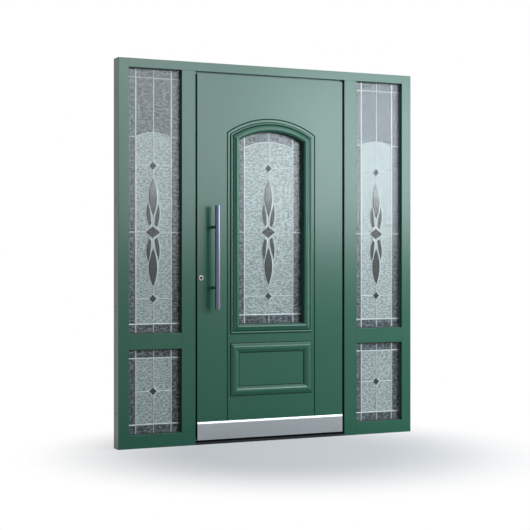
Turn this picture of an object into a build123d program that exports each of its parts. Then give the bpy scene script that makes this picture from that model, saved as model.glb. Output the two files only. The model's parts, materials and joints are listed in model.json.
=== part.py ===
"""Aluminium front door set: an inward opening leaf with an arched leaded window between two
fixed leaded sidelights.

Millimetres. X runs across the set, to the right as seen from outside, Y runs into the house and Z runs
up. The origin is on the underside of the threshold, at the middle of the doorway and of the frame's depth.
"""

import os
from math import sqrt

from build123d import *

os.makedirs("parts", exist_ok=True)

# Frame
SET_W = 1900
SET_H = 2200
FRAME_D = 80
JAMB_FACE = 63
HEAD_FACE = 51
MULLION_FACE = 84
DOORWAY_W = 970
RAIL_FACE = 77
TRANSOM_Z = 557
TRANSOM_FACE = 90
REBATE = 20
LIP_T = 20
ARRIS_R = 1.5
THRESHOLD_H = 20
TREAD_SLOPE = 5
TREAD_RIB_W = 3
TREAD_RIB_H = 1
TREAD_RIBS = 5
TREAD_PITCH = 8

# Wall fixings through the jambs
FIXING_R = 5.25
FIXING_Y = 5
FIXING_END = 200
FIXINGS = 4

# Insulating glass units
OUTER_PANE_T = 6
FRONT_SPACER_T = 9
LEADED_PANE_T = 4
BACK_SPACER_T = 12
INNER_PANE_T = 4
GLASS_EDGE_GAP = 5
SPACER_W = 12
SPACER_EDGE = 2
GASKET_T = 3
GASKET_W = 16
GASKET_SIGHT = 5
BEAD_JOINT = 0.5

# Door leaf
LEAF_RECESS = 4
SKIN_GAP = 13
SKIN_T = 24
LEAF_GAP = 8
BOTTOM_GAP = 6
STILE_W = 75
TOP_RAIL_H = 75
BOTTOM_RAIL_H = 110
PANEL_INSET = 6
DOOR_GLASS_RECESS = 26
SEAL_GAP = 0.5
SEAL_W = 14
BOTTOM_SEAL_T = 10

# Arched line, window and lower panel
GROOVE_MARGIN = 188
GROOVE_DROP = 245
ARCH_PROPORTION = 0.31
GROOVE_W = 8
GROOVE_DEPTH = 5
MOULDING_INSET = 20
MOULDING_W = 53
BEAD_W = 11
BEAD_FOOT = 5
BEAD_H = 6.5
QUIRK_W = 6
QUIRK_H = 1
HOLLOW_H = 5
HOLLOW_SAG = 1.5
CREST_W = 36
CREST_H = 15
OVOLO_SAG = 3
INNER_EDGE_H = 6
LEG_T = 8
GLASS_COVER = 16
GLASS_SEAT_GAP = 3
WINDOW_SIGHT_Z = 687
PANEL_Z0 = 273
PANEL_H = 303
PANEL_MOULDING_W = 52
PANEL_MOULDING_H = 13
PANEL_MOULDING_EDGE = 3
PANEL_MOULDING_TOP = 12
PANEL_MOULDING_SAG = 1.5

# Kick plate
KICK_H = 104
KICK_T = 3
KICK_BEVEL = 11
KICK_EDGE_T = 0.8

# Pull handle and lock
BAR_R = 16
BAR_L = 600
BAR_SETBACK = 123
BAR_Z = 1078
BAR_EDGE = 1.5
STANDOFF = 72
POST_R = 9
POST_PITCH = 350
POST_JOINT = 0.1
LOCK_SETBACK = 47
LOCK_Z = 960
ROSE_R = 15
ROSE_T = 6
ROSE_EDGE = 1.5
CYLINDER_R = 8.5
CYLINDER_GAP = 0.3
CYLINDER_PROUD = 1
KEYWAY_W = 1.6
KEYWAY_H = 9
KEYWAY_D = 6
PLATE_W = 35
PLATE_H = 240
PLATE_T = 9
PLATE_EDGE = 2
LEVER_Z_UP = 92
LEVER_H = 20
LEVER_T = 10
LEVER_REACH = 50
LEVER_L = 135
LEVER_BEND_R = 18
LEVER_EDGE = 1.5
FACEPLATE_W = 20
FACEPLATE_T = 3
FACEPLATE_L = 1600
FACEPLATE_Y = 14
STRIKE_L = 320
BOLT_SLOT_W = 12
BOLT_SLOT_L = 38
BOLT_PITCH = 130

# Hinges
HINGE_END = 214
KNUCKLE_R = 11
KNUCKLE_L = 34
KNUCKLE_GAP = 0.5
PIN_R = 5
PIN_CLEAR = 0.05
HINGE_OFFSET = 17
HINGE_PLATE_T = 4
HINGE_PLATE_W = 36
HINGE_ARM_T = 8

# Places worked out from the sizes
Y_OUT = -FRAME_D / 2
Y_IN = FRAME_D / 2
LIP_BACK = Y_OUT + LIP_T
HALF_W = SET_W / 2
FIXING_PITCH = (SET_H - 2 * FIXING_END) / (FIXINGS - 1)
DOOR_HALF = DOORWAY_W / 2
DOOR_WEB = DOOR_HALF + REBATE
SIDE_IN = DOOR_HALF + MULLION_FACE
SIDE_OUT = HALF_W - JAMB_FACE
IN_WEB = SIDE_IN - REBATE
OUT_WEB = SIDE_OUT + REBATE
HEAD_Z = SET_H - HEAD_FACE
HEAD_WEB = HEAD_Z + REBATE
TRANSOM_TOP = TRANSOM_Z + TRANSOM_FACE
UNIT_T = OUTER_PANE_T + FRONT_SPACER_T + LEADED_PANE_T + BACK_SPACER_T + INNER_PANE_T
SIDE_UNIT_Y = LIP_BACK + GASKET_T
BEAD_Y = SIDE_UNIT_Y + UNIT_T + GASKET_T
SIGHT_ZS = ((RAIL_FACE, TRANSOM_Z), (TRANSOM_TOP, HEAD_Z))
SIDES = {"left": -1, "right": 1}

LEAF_FACE = Y_OUT + LEAF_RECESS
STILE_FRONT = LEAF_FACE + SKIN_T
PANEL_BACK = Y_IN - PANEL_INSET
SKIN_HALF = DOOR_HALF - SKIN_GAP
SKIN_TOP = HEAD_Z - SKIN_GAP
LEAF_HALF = DOOR_WEB - LEAF_GAP
LEAF_Z0 = THRESHOLD_H + BOTTOM_GAP
LEAF_TOP = HEAD_WEB - LEAF_GAP
STILE_IN = LEAF_HALF - STILE_W
CORE_Z0 = LEAF_Z0 + BOTTOM_RAIL_H
CORE_TOP = LEAF_TOP - TOP_RAIL_H
DOOR_UNIT_Y = LEAF_FACE + DOOR_GLASS_RECESS
DOOR_UNIT_BACK = DOOR_UNIT_Y + UNIT_T
GROOVE_HALF = SKIN_HALF - GROOVE_MARGIN
GROOVE_APEX_Z = SKIN_TOP - GROOVE_DROP
GROOVE_RISE = ARCH_PROPORTION * GROOVE_HALF
GROOVE_R = (GROOVE_HALF**2 + GROOVE_RISE**2) / (2 * GROOVE_RISE)
ARCH_Z = GROOVE_APEX_Z - GROOVE_R
KICK_TOP = LEAF_Z0 + KICK_H
SIGHT_INSET = MOULDING_INSET + MOULDING_W
UNIT_INSET = SIGHT_INSET - GLASS_COVER
PANEL_HALF = GROOVE_HALF - MOULDING_INSET
HINGE_X = (LEAF_HALF + DOOR_WEB) / 2
HINGE_Y = Y_IN + HINGE_OFFSET
HINGE_L = 3 * KNUCKLE_L + 2 * KNUCKLE_GAP
HINGE_ZS = (LEAF_Z0 + HINGE_END, (LEAF_Z0 + LEAF_TOP) / 2, LEAF_TOP - HINGE_END)
BAR_X = BAR_SETBACK - LEAF_HALF
BAR_Y = LEAF_FACE - STANDOFF
LOCK_X = LOCK_SETBACK - LEAF_HALF
BOLT_ZS = (LOCK_Z - BOLT_PITCH / 2, LOCK_Z + BOLT_PITCH / 2)


def save(builder, label):
    """Names a finished piece and writes its file."""
    builder.part.label = label
    export_step(builder.part, f"parts/{label}.step")


def upright(y):
    """The plane parallel to the door's face at depth y, seen from outside."""
    return Plane.XZ.offset(-y)


def span(plane, x0, x1, z0, z1, depth, mode=Mode.ADD):
    """A rectangle between two corners on an upright plane, run inwards by a depth."""
    with BuildSketch(plane) as outline:
        with Locations(((x0 + x1) / 2, (z0 + z1) / 2)):
            Rectangle(x1 - x0, z1 - z0)
    extrude(outline.sketch, amount=-depth, mode=mode)


def ring(plane, x0, x1, z0, z1, width, depth):
    """A rectangular frame with its outer corners given, run inwards by a depth."""
    with BuildSketch(plane) as outline:
        with Locations(((x0 + x1) / 2, (z0 + z1) / 2)):
            Rectangle(x1 - x0, z1 - z0)
            Rectangle(x1 - x0 - 2 * width, z1 - z0 - 2 * width, mode=Mode.SUBTRACT)
    extrude(outline.sketch, amount=-depth)


def corner(inset):
    """The corner between arch and side of an outline that lies inside the arched groove by an inset."""
    half = GROOVE_HALF - inset
    return half, ARCH_Z + sqrt((GROOVE_R - inset) ** 2 - half**2)


def arched_face(inset, mode=Mode.ADD):
    """A face with the window's arched outline, inside the arched groove by an inset."""
    half, spring = corner(inset)
    bottom = WINDOW_SIGHT_Z - SIGHT_INSET + inset
    with BuildLine() as outline:
        Polyline((-half, spring), (-half, bottom), (half, bottom), (half, spring))
        ThreePointArc((half, spring), (0, GROOVE_APEX_Z - inset), (-half, spring))
    make_face(outline.edges(), mode=mode)


def arched_pane(y, inset, depth, mode=Mode.ADD):
    """A plate with the window's arched outline, run inwards by a depth."""
    with BuildSketch(upright(y)) as pane:
        arched_face(inset)
    extrude(pane.sketch, amount=-depth, mode=mode)


def arched_ring(y, outer_inset, inner_inset, depth):
    """A band between two outlines of the window, run inwards by a depth."""
    with BuildSketch(upright(y)) as band:
        arched_face(outer_inset)
        arched_face(inner_inset, mode=Mode.SUBTRACT)
    extrude(band.sketch, amount=-depth)


# Jambs: a web against the wall with a lip on the outside that holds the glass
with BuildPart() as left_jamb:
    with BuildSketch(Plane.XY) as jamb_section:
        with BuildLine():
            Polyline(
                (-HALF_W, Y_OUT),
                (-SIDE_OUT, Y_OUT),
                (-SIDE_OUT, LIP_BACK),
                (-OUT_WEB, LIP_BACK),
                (-OUT_WEB, Y_IN),
                (-HALF_W, Y_IN),
                close=True,
            )
        make_face()
        fillet(jamb_section.vertices().group_by(Axis.Y)[0], radius=ARRIS_R)
    extrude(amount=SET_H)
    with BuildSketch(Plane.YZ.offset(-HALF_W)):
        with Locations((FIXING_Y, SET_H / 2)):
            with GridLocations(0, FIXING_PITCH, 1, FIXINGS):
                Circle(FIXING_R)
    extrude(amount=OUT_WEB - HALF_W, both=True, mode=Mode.SUBTRACT)
save(left_jamb, "left_jamb")

with BuildPart() as right_jamb:
    mirror(left_jamb.part, about=Plane.YZ)
save(right_jamb, "right_jamb")

# Head: the same section laid across, coped round the lips of the jambs
with BuildPart() as head:
    with BuildSketch(Plane.YZ.offset(-OUT_WEB)) as head_section:
        with BuildLine():
            Polyline(
                (Y_OUT, HEAD_Z),
                (LIP_BACK, HEAD_Z),
                (LIP_BACK, HEAD_WEB),
                (Y_IN, HEAD_WEB),
                (Y_IN, SET_H),
                (Y_OUT, SET_H),
                close=True,
            )
        make_face()
        fillet(head_section.vertices().group_by(Axis.Y)[0], radius=ARRIS_R)
    extrude(amount=2 * OUT_WEB)
    for x in (-OUT_WEB, SIDE_OUT):
        span(upright(Y_OUT), x, x + REBATE, HEAD_Z, SET_H, LIP_T, mode=Mode.SUBTRACT)
save(head, "head")

# Mullions: a lip for the sidelight's glass and a lip that the leaf closes against
with BuildPart() as left_mullion:
    with BuildSketch(Plane.XY) as mullion_section:
        with BuildLine():
            Polyline(
                (-SIDE_IN, Y_OUT),
                (-DOOR_HALF, Y_OUT),
                (-DOOR_HALF, LIP_BACK),
                (-DOOR_WEB, LIP_BACK),
                (-DOOR_WEB, Y_IN),
                (-IN_WEB, Y_IN),
                (-IN_WEB, LIP_BACK),
                (-SIDE_IN, LIP_BACK),
                close=True,
            )
        make_face()
        fillet(mullion_section.vertices().group_by(Axis.Y)[0], radius=ARRIS_R)
    extrude(amount=HEAD_WEB)
    span(upright(Y_OUT), -SIDE_IN, -DOOR_HALF, HEAD_Z, HEAD_WEB, LIP_T, mode=Mode.SUBTRACT)

with BuildPart() as right_mullion:
    mirror(left_mullion.part, about=Plane.YZ)
save(right_mullion, "right_mullion")


# The lock side's mullion also takes the strike plate
def lock_plate(x, length, slots=()):
    """A strip let into an edge from x towards +X, with slots at the heights of latch and bolt."""
    with BuildPart() as plate:
        with BuildSketch(Plane.YZ.offset(x)) as shape:
            with Locations((FACEPLATE_Y, LOCK_Z)):
                Rectangle(FACEPLATE_W, length)
            for z in slots:
                with Locations((FACEPLATE_Y, z)):
                    Rectangle(BOLT_SLOT_W, BOLT_SLOT_L, mode=Mode.SUBTRACT)
        extrude(shape.sketch, amount=FACEPLATE_T)
    return plate


save(lock_plate(-DOOR_WEB - FACEPLATE_T, STRIKE_L, BOLT_ZS), "strike_plate")
with BuildPart() as locked_mullion:
    add(left_mullion.part)
    add(lock_plate(-DOOR_WEB - FACEPLATE_T, STRIKE_L).part, mode=Mode.SUBTRACT)
save(locked_mullion, "left_mullion")

# Sidelight rails and transoms, coped round the lips of jamb and mullion
def cross_bar(side, z0, z1, lips):
    """A bar across a sidelight from web to web with a lip above, below or both."""
    x0, x1 = sorted((side * IN_WEB, side * OUT_WEB))
    low = z0 + REBATE if "below" in lips else z0
    high = z1 - REBATE if "above" in lips else z1
    with BuildPart() as bar:
        span(upright(LIP_BACK), x0, x1, low, high, Y_IN - LIP_BACK)
        span(upright(Y_OUT), x0 + REBATE, x1 - REBATE, z0, z1, LIP_T)
        front = bar.faces().sort_by(Axis.Y)[0]
        fillet(front.edges().filter_by(Axis.X), radius=ARRIS_R)
    return bar


for name, side in SIDES.items():
    save(cross_bar(side, 0, RAIL_FACE, ("above",)), f"{name}_bottom_rail")
    save(cross_bar(side, TRANSOM_Z, TRANSOM_TOP, ("above", "below")), f"{name}_transom")

# Threshold: a low sill with a sloped nose and ribs on the tread
with BuildPart() as threshold:
    with BuildSketch(Plane.YZ.offset(-DOOR_WEB)):
        with BuildLine():
            Polyline(
                (Y_OUT, 0),
                (Y_IN, 0),
                (Y_IN, THRESHOLD_H - TREAD_RIB_H),
                (LIP_BACK, THRESHOLD_H - TREAD_RIB_H),
                (Y_OUT, THRESHOLD_H - TREAD_RIB_H - TREAD_SLOPE),
                close=True,
            )
        make_face()
        with Locations((0, THRESHOLD_H - TREAD_RIB_H / 2)):
            with GridLocations(TREAD_PITCH, 0, TREAD_RIBS, 1):
                Rectangle(TREAD_RIB_W, TREAD_RIB_H)
    extrude(amount=2 * DOOR_WEB)
    for x in (-DOOR_WEB, DOOR_HALF):
        span(upright(Y_OUT), x, x + REBATE, 0, THRESHOLD_H, LIP_T, mode=Mode.SUBTRACT)
save(threshold, "threshold")

# Sidelight glazing: panes, spacers, gaskets and inside beads in each of the four openings
leaded_y = SIDE_UNIT_Y + OUTER_PANE_T + FRONT_SPACER_T
inner_y = SIDE_UNIT_Y + UNIT_T - INNER_PANE_T
unit_edge = REBATE - GLASS_EDGE_GAP
spacer_edge = unit_edge - SPACER_EDGE
gasket_edge = GASKET_W - GASKET_SIGHT


def openings(edge):
    """The corners of the four sidelight openings, widened all round by an edge."""
    for side in SIDES.values():
        x0, x1 = sorted((side * SIDE_IN, side * SIDE_OUT))
        for z0, z1 in SIGHT_ZS:
            yield x0 - edge, x1 + edge, z0 - edge, z1 + edge


with BuildPart() as sidelight_glass:
    for corners in openings(unit_edge):
        span(upright(SIDE_UNIT_Y), *corners, OUTER_PANE_T)
        span(upright(inner_y), *corners, INNER_PANE_T)
save(sidelight_glass, "sidelight_glass")

with BuildPart() as sidelight_leaded:
    for corners in openings(unit_edge):
        span(upright(leaded_y), *corners, LEADED_PANE_T)
save(sidelight_leaded, "sidelight_leaded_panes")

with BuildPart() as sidelight_spacers:
    for corners in openings(spacer_edge):
        ring(upright(SIDE_UNIT_Y + OUTER_PANE_T), *corners, SPACER_W, FRONT_SPACER_T)
        ring(upright(leaded_y + LEADED_PANE_T), *corners, SPACER_W, BACK_SPACER_T)
save(sidelight_spacers, "sidelight_spacers")

with BuildPart() as sidelight_gaskets:
    for corners in openings(gasket_edge):
        ring(upright(LIP_BACK), *corners, GASKET_W, GASKET_T)
        ring(upright(SIDE_UNIT_Y + UNIT_T), *corners, GASKET_W, GASKET_T)
save(sidelight_gaskets, "sidelight_gaskets")

with BuildPart() as glazing_beads:
    for x0, x1, z0, z1 in openings(REBATE):
        for x in (x0, x1 - REBATE):
            span(upright(BEAD_Y), x, x + REBATE, z0, z1, Y_IN - BEAD_Y)
        for z in (z0, z1 - REBATE):
            bead0, bead1 = x0 + REBATE + BEAD_JOINT, x1 - REBATE - BEAD_JOINT
            span(upright(BEAD_Y), bead0, bead1, z, z + REBATE, Y_IN - BEAD_Y)
save(glazing_beads, "glazing_beads")

# Weather seal on the back of the doorway's lips
with BuildPart() as frame_seal:
    seal_t = STILE_FRONT - SEAL_GAP - LIP_BACK
    for side in SIDES.values():
        x0, x1 = sorted((side * DOOR_HALF, side * (DOOR_HALF + SEAL_W)))
        span(upright(LIP_BACK), x0, x1, THRESHOLD_H, HEAD_Z, seal_t)
    span(upright(LIP_BACK), -DOOR_HALF, DOOR_HALF, HEAD_Z, HEAD_Z + SEAL_W, seal_t)
save(frame_seal, "frame_seal")

# Leaf frame: stiles mitred to the top rail, with a deeper bottom rail between them
def stile(side):
    """One upright of the leaf frame, mitred at the top."""
    with BuildPart() as bar:
        with BuildSketch(upright(STILE_FRONT)):
            with BuildLine():
                Polyline(
                    (side * LEAF_HALF, LEAF_Z0),
                    (side * STILE_IN, LEAF_Z0),
                    (side * STILE_IN, CORE_TOP),
                    (side * LEAF_HALF, LEAF_TOP),
                    close=True,
                )
            make_face()
        extrude(amount=STILE_FRONT - Y_IN)
    return bar


with BuildPart() as lock_stile:
    add(stile(-1).part)
    add(lock_plate(-LEAF_HALF, FACEPLATE_L).part, mode=Mode.SUBTRACT)
    with BuildSketch(upright(STILE_FRONT)):
        with Locations((LOCK_X, LOCK_Z)):
            Circle(CYLINDER_R + CYLINDER_GAP)
    extrude(amount=STILE_FRONT - Y_IN, mode=Mode.SUBTRACT)
save(lock_stile, "lock_stile")
save(lock_plate(-LEAF_HALF, FACEPLATE_L, BOLT_ZS), "lock_faceplate")
save(stile(1), "hinge_stile")

with BuildPart() as top_rail:
    with BuildSketch(upright(STILE_FRONT)):
        with BuildLine():
            Polyline(
                (-LEAF_HALF, LEAF_TOP),
                (-STILE_IN, CORE_TOP),
                (STILE_IN, CORE_TOP),
                (LEAF_HALF, LEAF_TOP),
                close=True,
            )
        make_face()
    extrude(amount=STILE_FRONT - Y_IN)
save(top_rail, "top_rail")

with BuildPart() as bottom_rail:
    span(upright(STILE_FRONT), -STILE_IN, STILE_IN, LEAF_Z0, CORE_Z0, Y_IN - STILE_FRONT)
save(bottom_rail, "bottom_rail")

# Door panel: a flush outer skin over the leaf frame and a core inside it, with the window cut through
with BuildPart() as door_panel:
    span(upright(LEAF_FACE), -SKIN_HALF, SKIN_HALF, LEAF_Z0, SKIN_TOP, SKIN_T)
    span(upright(STILE_FRONT), -STILE_IN, STILE_IN, CORE_Z0, CORE_TOP, PANEL_BACK - STILE_FRONT)
    arched_pane(LEAF_FACE, UNIT_INSET - GLASS_SEAT_GAP, PANEL_BACK - LEAF_FACE, mode=Mode.SUBTRACT)
    with BuildSketch(upright(LEAF_FACE)):
        with Locations((LOCK_X, LOCK_Z)):
            Circle(CYLINDER_R + CYLINDER_GAP)
    extrude(amount=-SKIN_T, mode=Mode.SUBTRACT)
    half, spring = corner(0)
    with BuildLine(upright(LEAF_FACE)) as groove_path:
        Line((-half, KICK_TOP), (-half, spring))
        ThreePointArc((-half, spring), (0, GROOVE_APEX_Z), (half, spring))
        Line((half, spring), (half, KICK_TOP))
    with BuildSketch(Plane((-GROOVE_HALF, LEAF_FACE, KICK_TOP), x_dir=(1, 0, 0), z_dir=(0, 0, 1))):
        with BuildLine():
            Polyline((-GROOVE_W / 2, 0), (GROOVE_W / 2, 0), (0, GROOVE_DEPTH), close=True)
        make_face()
    sweep(path=groove_path.line, transition=Transition.RIGHT, mode=Mode.SUBTRACT)
save(door_panel, "door_panel")


# Window mouldings: outside a bead, a quirk, a hollow and a rounded inner edge, inside plain slopes
def moulding_section(plane, leg, carved):
    """The section on a plane whose X runs in towards the glass and whose Y stands off the leaf."""
    foot, crest, edge = (0, BEAD_FOOT), (CREST_W, CREST_H), (MOULDING_W, INNER_EDGE_H)
    bead_end, hollow_start = (BEAD_W, BEAD_FOOT), (BEAD_W + QUIRK_W, HOLLOW_H)
    with BuildSketch(plane) as section:
        with BuildLine():
            if carved:
                ThreePointArc(foot, (BEAD_W / 2, BEAD_H), bead_end)
                Polyline(bead_end, (BEAD_W + QUIRK_W / 2, QUIRK_H), hollow_start)
                SagittaArc(hollow_start, crest, -HOLLOW_SAG)
                SagittaArc(crest, edge, OVOLO_SAG)
            else:
                Polyline(foot, crest, edge)
            Polyline(
                edge,
                (MOULDING_W, -leg),
                (MOULDING_W - LEG_T, -leg),
                (MOULDING_W - LEG_T, 0),
                (0, 0),
                foot,
            )
        make_face()
    return section.sketch


def window_moulding(y, leg, carved):
    """The moulding on an outside face at depth y, with a leg that reaches in to the glass."""
    half, spring = corner(MOULDING_INSET)
    bottom = WINDOW_SIGHT_Z - MOULDING_W
    with BuildPart() as moulding:
        with BuildLine(upright(y)) as path:
            Polyline((0, bottom), (half, bottom), (half, spring))
            ThreePointArc((half, spring), (0, GROOVE_APEX_Z - MOULDING_INSET), (-half, spring))
            Polyline((-half, spring), (-half, bottom), (0, bottom))
        section = moulding_section(Plane((0, y, bottom), x_dir=(0, 0, 1), z_dir=(1, 0, 0)), leg, carved)
        sweep(section, path=path.line, transition=Transition.RIGHT)
    return moulding


outside_leg = DOOR_UNIT_Y - GASKET_T - LEAF_FACE
save(window_moulding(LEAF_FACE, outside_leg, carved=True), "outer_window_moulding")
inside_leg = PANEL_BACK - DOOR_UNIT_BACK - GASKET_T
with BuildPart() as inner_window_moulding:
    mirror(window_moulding(-PANEL_BACK, inside_leg, carved=False).part, about=Plane.XZ)
save(inner_window_moulding, "inner_window_moulding")


# Lower panel mouldings: a broad bead with rounded shoulders, mitred at the corners
def panel_moulding(y):
    """The rectangular moulding on an outside face at depth y."""
    shoulder = (PANEL_MOULDING_W - PANEL_MOULDING_TOP) / 2
    inner = PANEL_MOULDING_W - shoulder
    outer_edge = (PANEL_MOULDING_W, PANEL_MOULDING_EDGE)
    with BuildPart() as moulding:
        with BuildLine(upright(y)) as path:
            Polyline(
                (0, PANEL_Z0),
                (PANEL_HALF, PANEL_Z0),
                (PANEL_HALF, PANEL_Z0 + PANEL_H),
                (-PANEL_HALF, PANEL_Z0 + PANEL_H),
                (-PANEL_HALF, PANEL_Z0),
                (0, PANEL_Z0),
            )
        with BuildSketch(Plane((0, y, PANEL_Z0), x_dir=(0, 0, 1), z_dir=(1, 0, 0))):
            with BuildLine():
                Line((0, 0), (0, PANEL_MOULDING_EDGE))
                SagittaArc((0, PANEL_MOULDING_EDGE), (shoulder, PANEL_MOULDING_H), PANEL_MOULDING_SAG)
                Line((shoulder, PANEL_MOULDING_H), (inner, PANEL_MOULDING_H))
                SagittaArc((inner, PANEL_MOULDING_H), outer_edge, PANEL_MOULDING_SAG)
                Polyline(outer_edge, (PANEL_MOULDING_W, 0), (0, 0))
            make_face()
        sweep(path=path.line, transition=Transition.RIGHT)
    return moulding


save(panel_moulding(LEAF_FACE), "outer_panel_moulding")
with BuildPart() as inner_panel_moulding:
    mirror(panel_moulding(-PANEL_BACK).part, about=Plane.XZ)
save(inner_panel_moulding, "inner_panel_moulding")

# Door glazing, in the window cut through the panel
door_leaded_y = DOOR_UNIT_Y + OUTER_PANE_T + FRONT_SPACER_T
with BuildPart() as door_glass:
    arched_pane(DOOR_UNIT_Y, UNIT_INSET, OUTER_PANE_T)
    arched_pane(DOOR_UNIT_BACK - INNER_PANE_T, UNIT_INSET, INNER_PANE_T)
save(door_glass, "door_glass")

with BuildPart() as door_leaded:
    arched_pane(door_leaded_y, UNIT_INSET, LEADED_PANE_T)
save(door_leaded, "door_leaded_pane")

with BuildPart() as door_spacers:
    spacer_inset = UNIT_INSET + SPACER_EDGE
    arched_ring(DOOR_UNIT_Y + OUTER_PANE_T, spacer_inset, spacer_inset + SPACER_W, FRONT_SPACER_T)
    arched_ring(door_leaded_y + LEADED_PANE_T, spacer_inset, spacer_inset + SPACER_W, BACK_SPACER_T)
save(door_spacers, "door_spacers")

with BuildPart() as door_gaskets:
    for y in (DOOR_UNIT_Y - GASKET_T, DOOR_UNIT_BACK):
        arched_ring(y, SIGHT_INSET + GASKET_SIGHT - GASKET_W, SIGHT_INSET + GASKET_SIGHT, GASKET_T)
save(door_gaskets, "door_gaskets")

# Kick plate: a steel sheet over the foot of the leaf with a bevelled top edge
with BuildPart() as kick_plate:
    with BuildSketch(Plane.YZ.offset(-SKIN_HALF)):
        with BuildLine():
            Polyline(
                (LEAF_FACE, LEAF_Z0),
                (LEAF_FACE, KICK_TOP),
                (LEAF_FACE - KICK_EDGE_T, KICK_TOP),
                (LEAF_FACE - KICK_T, KICK_TOP - KICK_BEVEL),
                (LEAF_FACE - KICK_T, LEAF_Z0),
                close=True,
            )
        make_face()
    extrude(amount=2 * SKIN_HALF)
save(kick_plate, "kick_plate")

# Sweep seal under the leaf
with BuildPart() as bottom_seal:
    with BuildSketch(Plane.XY.offset(THRESHOLD_H + SEAL_GAP)):
        Rectangle(2 * STILE_IN, BOTTOM_SEAL_T)
    extrude(amount=BOTTOM_GAP - SEAL_GAP)
save(bottom_seal, "bottom_seal")

# Pull handle: a round bar on two straight posts
with BuildPart() as pull_bar:
    with BuildSketch(Plane.XY.offset(BAR_Z - BAR_L / 2)):
        with Locations((BAR_X, BAR_Y)):
            Circle(BAR_R)
    extrude(amount=BAR_L)
    chamfer(pull_bar.edges().filter_by(GeomType.CIRCLE), length=BAR_EDGE)
save(pull_bar, "pull_bar")

with BuildPart() as pull_posts:
    with BuildSketch(upright(LEAF_FACE)):
        with Locations((BAR_X, BAR_Z)):
            with GridLocations(0, POST_PITCH, 1, 2):
                Circle(POST_R)
    extrude(amount=STANDOFF)
    with BuildSketch(Plane.XY.offset(BAR_Z - BAR_L / 2)):
        with Locations((BAR_X, BAR_Y)):
            Circle(BAR_R + POST_JOINT)
    extrude(amount=BAR_L, mode=Mode.SUBTRACT)
save(pull_posts, "pull_posts")

# Lock: a round cylinder through the stile, a rose outside and a plate with a lever inside
with BuildPart() as cylinder_rose:
    with BuildSketch(upright(LEAF_FACE)):
        with Locations((LOCK_X, LOCK_Z)):
            Circle(ROSE_R)
    extrude(amount=ROSE_T)
    rim = cylinder_rose.edges().filter_by(GeomType.CIRCLE).sort_by(Axis.Y)[0]
    chamfer(rim, length=ROSE_EDGE)
    with BuildSketch(upright(LEAF_FACE)):
        with Locations((LOCK_X, LOCK_Z)):
            Circle(CYLINDER_R + CYLINDER_GAP)
    extrude(amount=ROSE_T, mode=Mode.SUBTRACT)
save(cylinder_rose, "cylinder_rose")

with BuildPart() as lock_cylinder:
    cylinder_front = LEAF_FACE - ROSE_T - CYLINDER_PROUD
    with BuildSketch(upright(cylinder_front)):
        with Locations((LOCK_X, LOCK_Z)):
            Circle(CYLINDER_R)
    extrude(amount=cylinder_front - Y_IN - PLATE_T - CYLINDER_PROUD)
    for face_y, reach in ((cylinder_front, -KEYWAY_D), (Y_IN + PLATE_T + CYLINDER_PROUD, KEYWAY_D)):
        with BuildSketch(upright(face_y)):
            with Locations((LOCK_X, LOCK_Z)):
                Rectangle(KEYWAY_W, KEYWAY_H)
        extrude(amount=reach, mode=Mode.SUBTRACT)
save(lock_cylinder, "lock_cylinder")

with BuildPart() as inside_plate:
    with BuildSketch(upright(Y_IN + PLATE_T)):
        with Locations((LOCK_X, LOCK_Z + LEVER_Z_UP / 2)):
            SlotOverall(PLATE_H, PLATE_W, rotation=90)
        with Locations((LOCK_X, LOCK_Z)):
            Circle(CYLINDER_R + CYLINDER_GAP, mode=Mode.SUBTRACT)
    extrude(amount=PLATE_T)
    chamfer(inside_plate.faces().sort_by(Axis.Y)[-1].outer_wire().edges(), length=PLATE_EDGE)
save(inside_plate, "inside_plate")

with BuildPart() as lever:
    lever_y = Y_IN + PLATE_T
    neck = LOCK_X - LEVER_T / 2
    with BuildSketch(Plane.XY.offset(LOCK_Z + LEVER_Z_UP - LEVER_H / 2)) as lever_plan:
        with BuildLine():
            Polyline(
                (neck, lever_y),
                (neck + LEVER_T, lever_y),
                (neck + LEVER_T, lever_y + LEVER_REACH),
                (neck + LEVER_L, lever_y + LEVER_REACH),
                (neck + LEVER_L, lever_y + LEVER_REACH + LEVER_T),
                (neck, lever_y + LEVER_REACH + LEVER_T),
                close=True,
            )
        make_face()
        bend = lever_plan.vertices().sort_by(Axis.Y)
        fillet(bend[2:4].sort_by(Axis.X)[0], radius=LEVER_BEND_R - LEVER_T)
        fillet(lever_plan.vertices().group_by(Axis.Y)[-1].sort_by(Axis.X)[0], radius=LEVER_BEND_R)
    extrude(amount=LEVER_H)
    chamfer(lever.faces().sort_by(Axis.X)[-1].edges(), length=LEVER_EDGE)
save(lever, "inside_lever")


# Hinges: outer knuckles with the pin on the mullion, the middle knuckle on the leaf
def knuckle(z, radius, length, mode=Mode.ADD):
    """A round length of a hinge on its axis, from a height up."""
    with BuildSketch(Plane.XY.offset(z)) as circle:
        with Locations((HINGE_X, HINGE_Y)):
            Circle(radius)
    extrude(circle.sketch, amount=length, mode=mode)


def hinge_wing(z, side, edge):
    """A mounting plate on the inside face and an arm from it to the knuckle, on one side of the axis."""
    arm0, arm1 = sorted((edge, edge + side * HINGE_ARM_T))
    plate0, plate1 = sorted((edge, edge + side * HINGE_PLATE_W))
    span(upright(Y_IN), plate0, plate1, z, z + KNUCKLE_L, HINGE_PLATE_T)
    span(upright(Y_IN), arm0, arm1, z, z + KNUCKLE_L, HINGE_OFFSET)


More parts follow.
